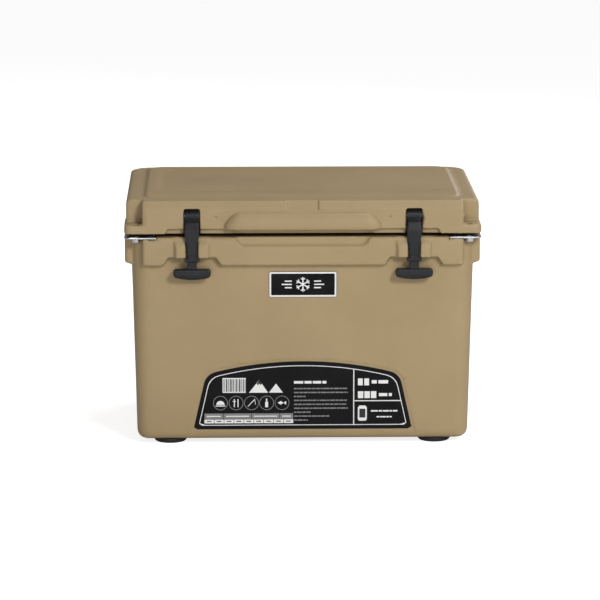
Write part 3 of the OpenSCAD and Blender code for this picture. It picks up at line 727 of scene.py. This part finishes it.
# block of bars
white.box(-127, 59.2, -90.2, 83.2, *INK)
at = -125.4
for i, width in enumerate((1, 0.6, 1.8, 0.8, 1, 2.2, 0.6, 1.2, 0.8, 1.6, 0.6, 2, 1, 0.8, 1.4, 0.6, 1)):
    dark.box(at, 61, at + width, 81.4, *OVER)
    at += width + (0.8, 1.4, 1.0)[i % 3]
# two peaks in place of the mark
white.slab([(-85.3, 59.2), (-55, 59.2), (-69, 80)], *INK)
white.slab([(-53.6, 59.2), (-31.5, 59.2), (-42.5, 74)], *INK)
dark.slab([(-73.2, 73.8), (-71, 71.2), (-69, 74), (-66.8, 71.4), (-64.8, 73.8), (-69, 80)], *OVER)
# five rings with plain pictograms: dome, fork and knife, rod, bottle, fish
for x in (-130.4, -105.6, -81.2, -57.3, -32.9):
    grey.ring(arc(x, 42.6, 11.6, 40), arc(x, 42.6, 10.7, 40), *INK)
white.slab(arc(-130.4, 39.6, 6.6, 18, math.pi), *INK)
white.box(-138, 37, -122.8, 38.6, *INK)
white.box(-109.2, 36, -107.6, 49, *INK)
white.box(-103.4, 36, -101.8, 49, *INK)
white.box(-110.8, 44.5, -106, 46, *INK)
white.bar(-87, 36.8, -76, 48.6, 1.2, *INK)
white.bar(-76, 48.2, -75, 40, 0.7, *INK)
white.box(-59.6, 35.6, -55, 44.6, *INK)
white.box(-58.3, 45, -56.3, 49.8, *INK)
white.slab([(-39.8, 42.6), (-35, 39.6), (-30.4, 42.6), (-35, 45.8)], *INK)
white.slab([(-30.6, 42.6), (-26.4, 39.6), (-26.4, 45.6)], *INK)
# table of cells
TABLE_X = -156.1
CELL_W = 15.68
columns = (TABLE_X, -125.7, -81.2, -36.6, -15)
for left, right in zip(columns, columns[1:]):
    grey.box(left + 0.4, 16.6, right - 0.4, 25.6, *INK)
    white.bar(left + 4, 21, right - 4, 21, 1.6, *OVER)
for i in range(9):
    left = TABLE_X + CELL_W * i
    white.box(left + 0.3, 9.6, left + 15.3, 15.8, *INK)
    dark.bar(left + 4, 12.7, left + 11.5, 12.7, 1.6, *OVER)


def line_of_marks(sheet, x0, x1, v, height, seed):
    """A line of plain dashes that stands for small print."""
    x = x0
    lengths = (5.2, 8.4, 3.6, 9.6, 6.4, 11.2, 4.4, 7.6)
    turn = seed
    while x < x1 - 1.5:
        end = min(x + lengths[turn % 8] * height / 2.4, x1)
        sheet.box(x, v - height / 2, end, v + height / 2, *INK)
        x = end + 1.1 * height / 2.4
        turn += 3


line_of_marks(white, -14, 40, 75.8, 4.2, 1)
for i, end in enumerate((71.6, 71.6, 4.3, 70, 69, 71.6, 13.9, 43, 8)):
    line_of_marks(grey, -14, end, 65.6 - 6.4 * i, 2.1, i)
for x, width in ((87.2, 7.6), (97.2, 7.6)):
    white.box(x, 70.4, x + width, 81.6, *INK)
line_of_marks(white, 109, 135, 76, 5.4, 2)
for x in (87.2, 97.5, 107.8):
    white.box(x, 49.6, x + 8.6, 60.8, *INK)
line_of_marks(white, 120.5, 141, 55.2, 5.0, 4)
# a drinks can
can = [
    (87.2, 15.4), (89, 12.8), (99.7, 12.8), (101.5, 15.4),
    (101.5, 34.6), (99, 37.6), (89.7, 37.6), (87.2, 34.6),
]
white.slab(can, *INK)
dark.box(89.6, 18, 99.1, 32.4, *OVER)
line_of_marks(white, 108, 150, 28.8, 2.4, 5)
line_of_marks(white, 117, 141, 19.2, 2.2, 0)

half_x, half_v = BADGE_HIGH[0], (BADGE_HIGH[2] - BADGE_LOW[2]) / 2
badge_y = BADGE_LOW[1] + half_v * math.tan(DRAFT)
badge_mid = (BADGE_LOW[2] + BADGE_HIGH[2]) / 2
SUNK, RAISED = -0.3, 0.08
marks = FlatWork("badge_print", badge_y, badge_mid)
frame_outside = round_box(half_x - 0.35, half_v - 0.35, 2.2)
frame_inside = round_box(half_x - 3.0, half_v - 3.0, 1.2)
marks.ring(frame_outside, frame_inside, SUNK, RAISED)
# a plain snow crystal between two sets of three bars
for i in range(3):
    a = math.pi / 3 * i + math.pi / 6
    x, v = 11.5 * math.cos(a), 11.5 * math.sin(a)
    marks.bar(-x, -v, x, v, 1.9, SUNK, RAISED + 0.01 * i)
for i in range(6):
    a = math.pi / 3 * i + math.pi / 6
    x, v = 7.2 * math.cos(a), 7.2 * math.sin(a)
    for turn in (-0.9, 0.9):
        tip_x, tip_v = x + 4.4 * math.cos(a + turn), v + 4.4 * math.sin(a + turn)
        marks.bar(x, v, tip_x, tip_v, 1.5, SUNK, 0.11)
for side in (-1, 1):
    for i, width in enumerate((11, 16, 11)):
        x, v = side * 17.5, 5.2 - 5.2 * i
        marks.bar(x, v, x + side * width, v, 2.0, SUNK, RAISED)
prints = [white.done(), grey.done(), dark.done(), marks.done()]


# ---------- materials ----------

def finish_of(
    name, color, accent, scale, rough, bump, grain, wear_and_highlight_colour, wear_and_highlight,
    metallic=0.0, shine=0.5, hollow_shade=0.0, stretch=(1, 1, 1),
):
    """A procedural finish: cloudy colour, uneven gloss, a fine grain, edges lightened as wear and painted
    highlight, and painted shade in hollows.
    """
    made = bpy.data.materials.new(name)
    made.use_nodes = True
    tree = made.node_tree
    shader = tree.nodes["Principled BSDF"]

    def node(kind, **values):
        new = tree.nodes.new(kind)
        for key, value in values.items():
            new.inputs[key.replace("_", " ")].default_value = value
        return new

    def link(a, out, b, into):
        tree.links.new(a.outputs[out], b.inputs[into])

    place = tree.nodes.new("ShaderNodeTexCoord")
    mapping = node("ShaderNodeMapping", Scale=stretch)
    link(place, "Object", mapping, "Vector")
    cloud = node("ShaderNodeTexNoise", Scale=scale, Detail=4.0, Roughness=0.6)
    speck = node("ShaderNodeTexNoise", Scale=grain, Detail=2.0)
    for noise in (cloud, speck):
        link(mapping, "Vector", noise, "Vector")
    blend = tree.nodes.new("ShaderNodeValToRGB")
    blend.color_ramp.elements[0].position = 0.35
    blend.color_ramp.elements[1].position = 0.68
    blend.color_ramp.elements[0].color = (*color, 1)
    blend.color_ramp.elements[1].color = (*accent, 1)
    link(cloud, "Fac", blend, "Fac")
    # edges lightened by pointiness: wear, and a painted highlight on convex edges
    geometry = tree.nodes.new("ShaderNodeNewGeometry")
    edge = tree.nodes.new("ShaderNodeMapRange")
    edge.inputs["From Min"].default_value = 0.52
    edge.inputs["From Max"].default_value = 0.62
    edge.inputs["To Max"].default_value = wear_and_highlight
    link(geometry, "Pointiness", edge, "Value")
    edge_lightened = tree.nodes.new("ShaderNodeMix")
    edge_lightened.data_type = "RGBA"
    tree.links.new(edge.outputs["Result"], edge_lightened.inputs[0])
    tree.links.new(blend.outputs["Color"], edge_lightened.inputs[6])
    edge_lightened.inputs[7].default_value = (*wear_and_highlight_colour, 1)
    # painted shade: ambient occlusion darkens the colour in hollows, creases and under overhangs, where shade
    # falls
    hollows = tree.nodes.new("ShaderNodeAmbientOcclusion")
    hollows.inputs["Distance"].default_value = 0.014
    hollows.samples = 8
    shade = tree.nodes.new("ShaderNodeMapRange")
    shade.inputs["From Min"].default_value = 0.25
    shade.inputs["From Max"].default_value = 0.85
    shade.inputs["To Min"].default_value = 1 - hollow_shade
    link(hollows, "AO", shade, "Value")
    shaded_colour = tree.nodes.new("ShaderNodeVectorMath")
    shaded_colour.operation = "SCALE"
    tree.links.new(edge_lightened.outputs[2], shaded_colour.inputs[0])
    tree.links.new(shade.outputs["Result"], shaded_colour.inputs["Scale"])
    tree.links.new(shaded_colour.outputs["Vector"] if hollow_shade else edge_lightened.outputs[2], shader.inputs["Base Color"])
    gloss = tree.nodes.new("ShaderNodeMapRange")
    gloss.inputs["To Min"].default_value = rough[0]
    gloss.inputs["To Max"].default_value = rough[1]
    link(cloud, "Fac", gloss, "Value")
    tree.links.new(gloss.outputs["Result"], shader.inputs["Roughness"])
    relief = node("ShaderNodeBump", Strength=bump, Distance=0.0004)
    link(speck, "Fac", relief, "Height")
    link(relief, "Normal", shader, "Normal")
    shader.inputs["Metallic"].default_value = metallic
    shader.inputs["Specular IOR Level"].default_value = shine
    return made


# each finish's worn colour lightens its convex edges, as wear and as a painted highlight
FINISHES = {
    # the sand shell carries painted shade in its hollows
    "sand_shell": finish_of(
        "sand_polyethylene", (0.405, 0.298, 0.158), (0.440, 0.328, 0.178),
        scale=7, rough=(0.42, 0.52), bump=0.12, grain=900,
        wear_and_highlight_colour=(0.52, 0.41, 0.26), wear_and_highlight=0.35, shine=0.3, hollow_shade=0.55,
    ),
    "foam": finish_of(
        "cream_foam", (0.72, 0.62, 0.38), (0.80, 0.72, 0.48),
        scale=60, rough=(0.85, 0.95), bump=0.5, grain=700, wear_and_highlight_colour=(0.85, 0.78, 0.58), wear_and_highlight=0.3,
    ),
    "black_plastic": finish_of(
        "black_moulded_plastic", (0.012, 0.012, 0.014), (0.022, 0.022, 0.024),
        scale=30, rough=(0.40, 0.55), bump=0.2, grain=1500, wear_and_highlight_colour=(0.07, 0.07, 0.075), wear_and_highlight=0.5,
    ),
    "foot_rubber": finish_of(
        "black_foot_rubber", (0.010, 0.010, 0.011), (0.020, 0.020, 0.021),
        scale=40, rough=(0.65, 0.80), bump=0.3, grain=1200, wear_and_highlight_colour=(0.05, 0.05, 0.05), wear_and_highlight=0.4,
    ),
    "latch_rubber": finish_of(
        "charcoal_latch_rubber", (0.009, 0.010, 0.012), (0.016, 0.017, 0.020),
        scale=35, rough=(0.38, 0.50), bump=0.15, grain=1600,
        wear_and_highlight_colour=(0.06, 0.064, 0.072), wear_and_highlight=0.6, shine=0.35,
    ),
    "gasket_rubber": finish_of(
        "grey_gasket_rubber", (0.020, 0.020, 0.022), (0.035, 0.035, 0.037),
        scale=50, rough=(0.70, 0.85), bump=0.25, grain=1200, wear_and_highlight_colour=(0.07, 0.07, 0.07), wear_and_highlight=0.4,
    ),
    "stainless": finish_of(
        "brushed_stainless", (0.58, 0.59, 0.60), (0.70, 0.71, 0.72),
        scale=60, rough=(0.22, 0.38), bump=0.25, grain=700,
        wear_and_highlight_colour=(0.85, 0.86, 0.88), wear_and_highlight=0.5, metallic=1.0, stretch=(0.12, 1, 1),
    ),
    "nylon": finish_of(
        "natural_nylon", (0.68, 0.66, 0.58), (0.76, 0.74, 0.67),
        scale=50, rough=(0.40, 0.55), bump=0.15, grain=900, wear_and_highlight_colour=(0.82, 0.80, 0.74), wear_and_highlight=0.4,
    ),
    "badge_film": finish_of(
        "black_badge_film", (0.006, 0.006, 0.007), (0.011, 0.011, 0.013),
        scale=25, rough=(0.22, 0.34), bump=0.05, grain=900,
        wear_and_highlight_colour=(0.02, 0.02, 0.02), wear_and_highlight=0.3, shine=0.08,
    ),
    "label_film": finish_of(
        "black_label_film", (0.006, 0.006, 0.007), (0.011, 0.011, 0.013),
        scale=14, rough=(0.26, 0.38), bump=0.05, grain=900,
        wear_and_highlight_colour=(0.02, 0.02, 0.02), wear_and_highlight=0.3, shine=0.08,
    ),
}


def ink_of(name, color, accent, wear_and_highlight_colour):
    return finish_of(
        name, color, accent, scale=60, rough=(0.35, 0.5), bump=0.1, grain=900, wear_and_highlight_colour=wear_and_highlight_colour, wear_and_highlight=0.2
    )


# one ink for each sheet of print, in the order of prints
INKS = [
    ink_of("white_ink", (0.88, 0.88, 0.87), (0.95, 0.95, 0.94), (0.9, 0.9, 0.9)),
    ink_of("grey_ink", (0.20, 0.20, 0.20), (0.26, 0.26, 0.26), (0.3, 0.3, 0.3)),
    ink_of("black_ink", (0.010, 0.010, 0.011), (0.016, 0.016, 0.017), (0.03, 0.03, 0.03)),
]
INKS.append(INKS[0])


def paint(piece, material):
    """Gives a piece one material in place of any it has."""
    piece.data.materials.clear()
    piece.data.materials.append(material)


# ---------- pieces on their bodies ----------

def stand_for(piece, body_name, node, slot):
    """Puts a mesh on a body in place of a CAD node."""
    paint(piece, FINISHES[slot])
    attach(piece, body_name)
    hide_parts(node)


stand_for(body, "chest", "body_shell", "sand_shell")
stand_for(lid, "lid", "lid_shell", "sand_shell")
stand_for(label, "chest", "front_label", "label_film")
for (side, _), latch in zip(pairs, latches):
    stand_for(latch, "latch_" + side, "latch_" + side, "latch_rubber")
for piece, ink, slot in zip(prints, INKS, ["label_film"] * 3 + ["badge_film"]):
    paint(piece, ink)
    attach(piece, "chest")

# CAD pieces that are kept, and how far each one's edges are rounded, in millimetres
SOFT_EDGE = {
    "body_fill_plugs": 0.5, "lid_fill_plugs": 0.5,
    "foot_front_left": 1.2, "foot_front_right": 1.2, "foot_rear_left": 1.2, "foot_rear_right": 1.2,
    "foot_screws": 0.3, "lock_plate_left": 0.35, "lock_plate_right": 0.35, "lock_plate_screws": 0.25,
    "front_badge": 0.3, "drain_bushing": 0.6, "drain_washer": 0.3, "drain_nut": 0.6, "drain_seal": 0.4,
    "drain_plug": 0.6, "lid_gasket": 0.8, "latch_pin_left": 0.4, "latch_pin_right": 0.4,
    "hinge_bushes": 0.3, "hinge_pin_left": 0.4, "hinge_pin_right": 0.4, "hinge_clips": 0.2,
}
node_slots = {part["node"]: part["material_slot"] for part in frame["record"]["subparts"]}
for name, width in SOFT_EDGE.items():
    piece = nodes[name]
    paint(piece, FINISHES[node_slots[name]])
    piece.data.polygons.foreach_set("use_smooth", [True] * len(piece.data.polygons))
    weld = piece.modifiers.new("weld", "WELD")
    weld.merge_threshold = 1e-6
    soften = piece.modifiers.new("soften", "BEVEL")
    soften.width = width * MM
    soften.segments = 2
    soften.limit_method = "ANGLE"
    soften.angle_limit = math.radians(42)
    soften.harden_normals = True
for name in ("body_foam", "lid_foam"):
    paint(nodes[name], FINISHES["foam"])


# ---------- studio ----------

def floor_mesh(size):
    """A square at a height of zero, which reaches size metres to each side."""
    bm = bmesh.new()
    corners = [bm.verts.new((x * size, y * size, 0)) for x, y in ((-1, -1), (1, -1), (1, 1), (-1, 1))]
    bm.faces.new(corners)
    mesh = bpy.data.meshes.new("studio_floor")
    bm.to_mesh(mesh)
    bm.free()
    made = bpy.data.objects.new("studio_floor", mesh)
    bpy.context.scene.collection.objects.link(made)
    return made


floor = floor_mesh(40)
floor_paint = finish_of(
    "pale_floor", (0.88, 0.88, 0.88), (0.90, 0.90, 0.90),
    scale=2, rough=(0.8, 0.9), bump=0.0, grain=100, wear_and_highlight_colour=(0.9, 0.9, 0.9), wear_and_highlight=0,
)
floor_shader = floor_paint.node_tree.nodes["Principled BSDF"]
floor_shader.inputs["Emission Color"].default_value = (1, 1, 1, 1)
# the floor's own glow keeps it pale; other pieces see less of it
lit = floor_paint.node_tree.nodes.new("ShaderNodeLightPath")
seen = floor_paint.node_tree.nodes.new("ShaderNodeMapRange")
seen.inputs["To Min"].default_value = 0.05
seen.inputs["To Max"].default_value = 0.8
floor_paint.node_tree.links.new(lit.outputs["Is Camera Ray"], seen.inputs["Value"])
floor_paint.node_tree.links.new(seen.outputs["Result"], floor_shader.inputs["Emission Strength"])
paint(floor, floor_paint)


def soft_light(name, place, target, size, power):
    """A round lamp that looks at a target."""
    data = bpy.data.lights.new(name, "AREA")
    data.shape = "DISK"
    data.size = size
    data.energy = power
    lamp = bpy.data.objects.new(name, data)
    bpy.context.scene.collection.objects.link(lamp)
    lamp.location = place
    lamp.rotation_euler = (Vector(target) - Vector(place)).to_track_quat("-Z", "Y").to_euler()


soft_light("key", (1.4, -3.2, 2.2), (0, 0, 0.2), 1.0, 72)
soft_light("front_fill", (-0.7, -4.6, 0.8), (0, 0, 0.2), 1.2, 24)
soft_light("top", (0.7, 0.4, 2.6), (0, 0, 0.35), 1.2, 19)
soft_light("back", (1.8, 3.0, 1.6), (0, 0, 0.3), 1.6, 24)
world = bpy.data.worlds.new("studio")
world.use_nodes = True
backdrop = world.node_tree.nodes["Background"]
backdrop.inputs["Color"].default_value = (1, 1, 1, 1)
backdrop.inputs["Strength"].default_value = 0.16
bpy.context.scene.world = world
bpy.context.scene.view_settings.view_transform = "Standard"

# the photo's camera, as fitted to it: its place, how far it looks down and round, and its lens
CAMERA_PLACE = (-0.13019, -5.59454, 1.23543)
CAMERA_DIP = 10.485
CAMERA_TURN = -1.33
LENS_TO_SENSOR = 5.83
camera_data = bpy.data.cameras.new("photo_camera")
camera_data.sensor_width = 36
camera_data.lens = LENS_TO_SENSOR * camera_data.sensor_width
camera_data.clip_end = 100
camera = bpy.data.objects.new("photo_camera", camera_data)
bpy.context.scene.collection.objects.link(camera)
camera.location = CAMERA_PLACE
camera.rotation_euler = (math.radians(90 - CAMERA_DIP), 0, math.radians(CAMERA_TURN))
bpy.context.scene.camera = camera
